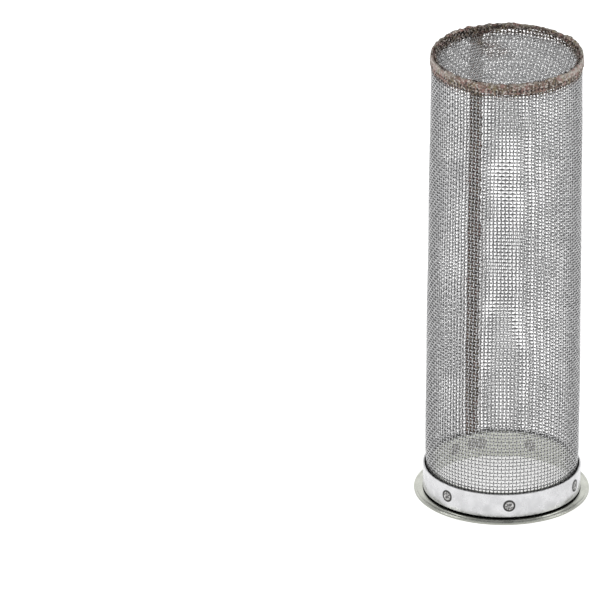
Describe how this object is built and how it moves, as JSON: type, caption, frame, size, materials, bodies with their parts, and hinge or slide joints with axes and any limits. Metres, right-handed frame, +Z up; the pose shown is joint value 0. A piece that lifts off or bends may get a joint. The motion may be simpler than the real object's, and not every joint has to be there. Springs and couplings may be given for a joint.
{
  "type": "hydraulic filter",
  "caption": "Wire-cloth suction strainer for a hydraulic tank: a mesh tube with a recessed mesh end disc, a welded side seam and a flanged, spot-welded collar.",
  "frame": {"origin": "centre of the flange's underside, on which the strainer stands", "axes": "+Z up along the tube's axis, away from the flange; -Y is the front of the pictured view"},
  "size_m": [0.055, 0.055, 0.15],
  "materials": {
    "collar": "satin zinc plate, passivated to a faint green cream",
    "band": "bright satin strip",
    "wire": "plain woven steel wire, galvanised grey",
    "rim_weld": "fused metal with brown, olive and purple heat tint",
    "seam_weld": "fused metal, dark brown with reddish patches",
    "spot_weld": "dull grey electrode mark"
  },
  "bodies": {
    "root": {"flange_collar": "collar", "clamp_band": "band", "mesh_tube": "wire", "end_disc": "wire", "disc_edge": "wire", "rim_weld": "rim_weld", "seam_weld": "seam_weld", "spot_weld_1": "spot_weld", "spot_weld_2": "spot_weld", "spot_weld_3": "spot_weld", "spot_weld_4": "spot_weld", "spot_weld_5": "spot_weld", "spot_weld_6": "spot_weld", "spot_weld_7": "spot_weld", "spot_weld_8": "spot_weld"}
  },
  "joints": []
}
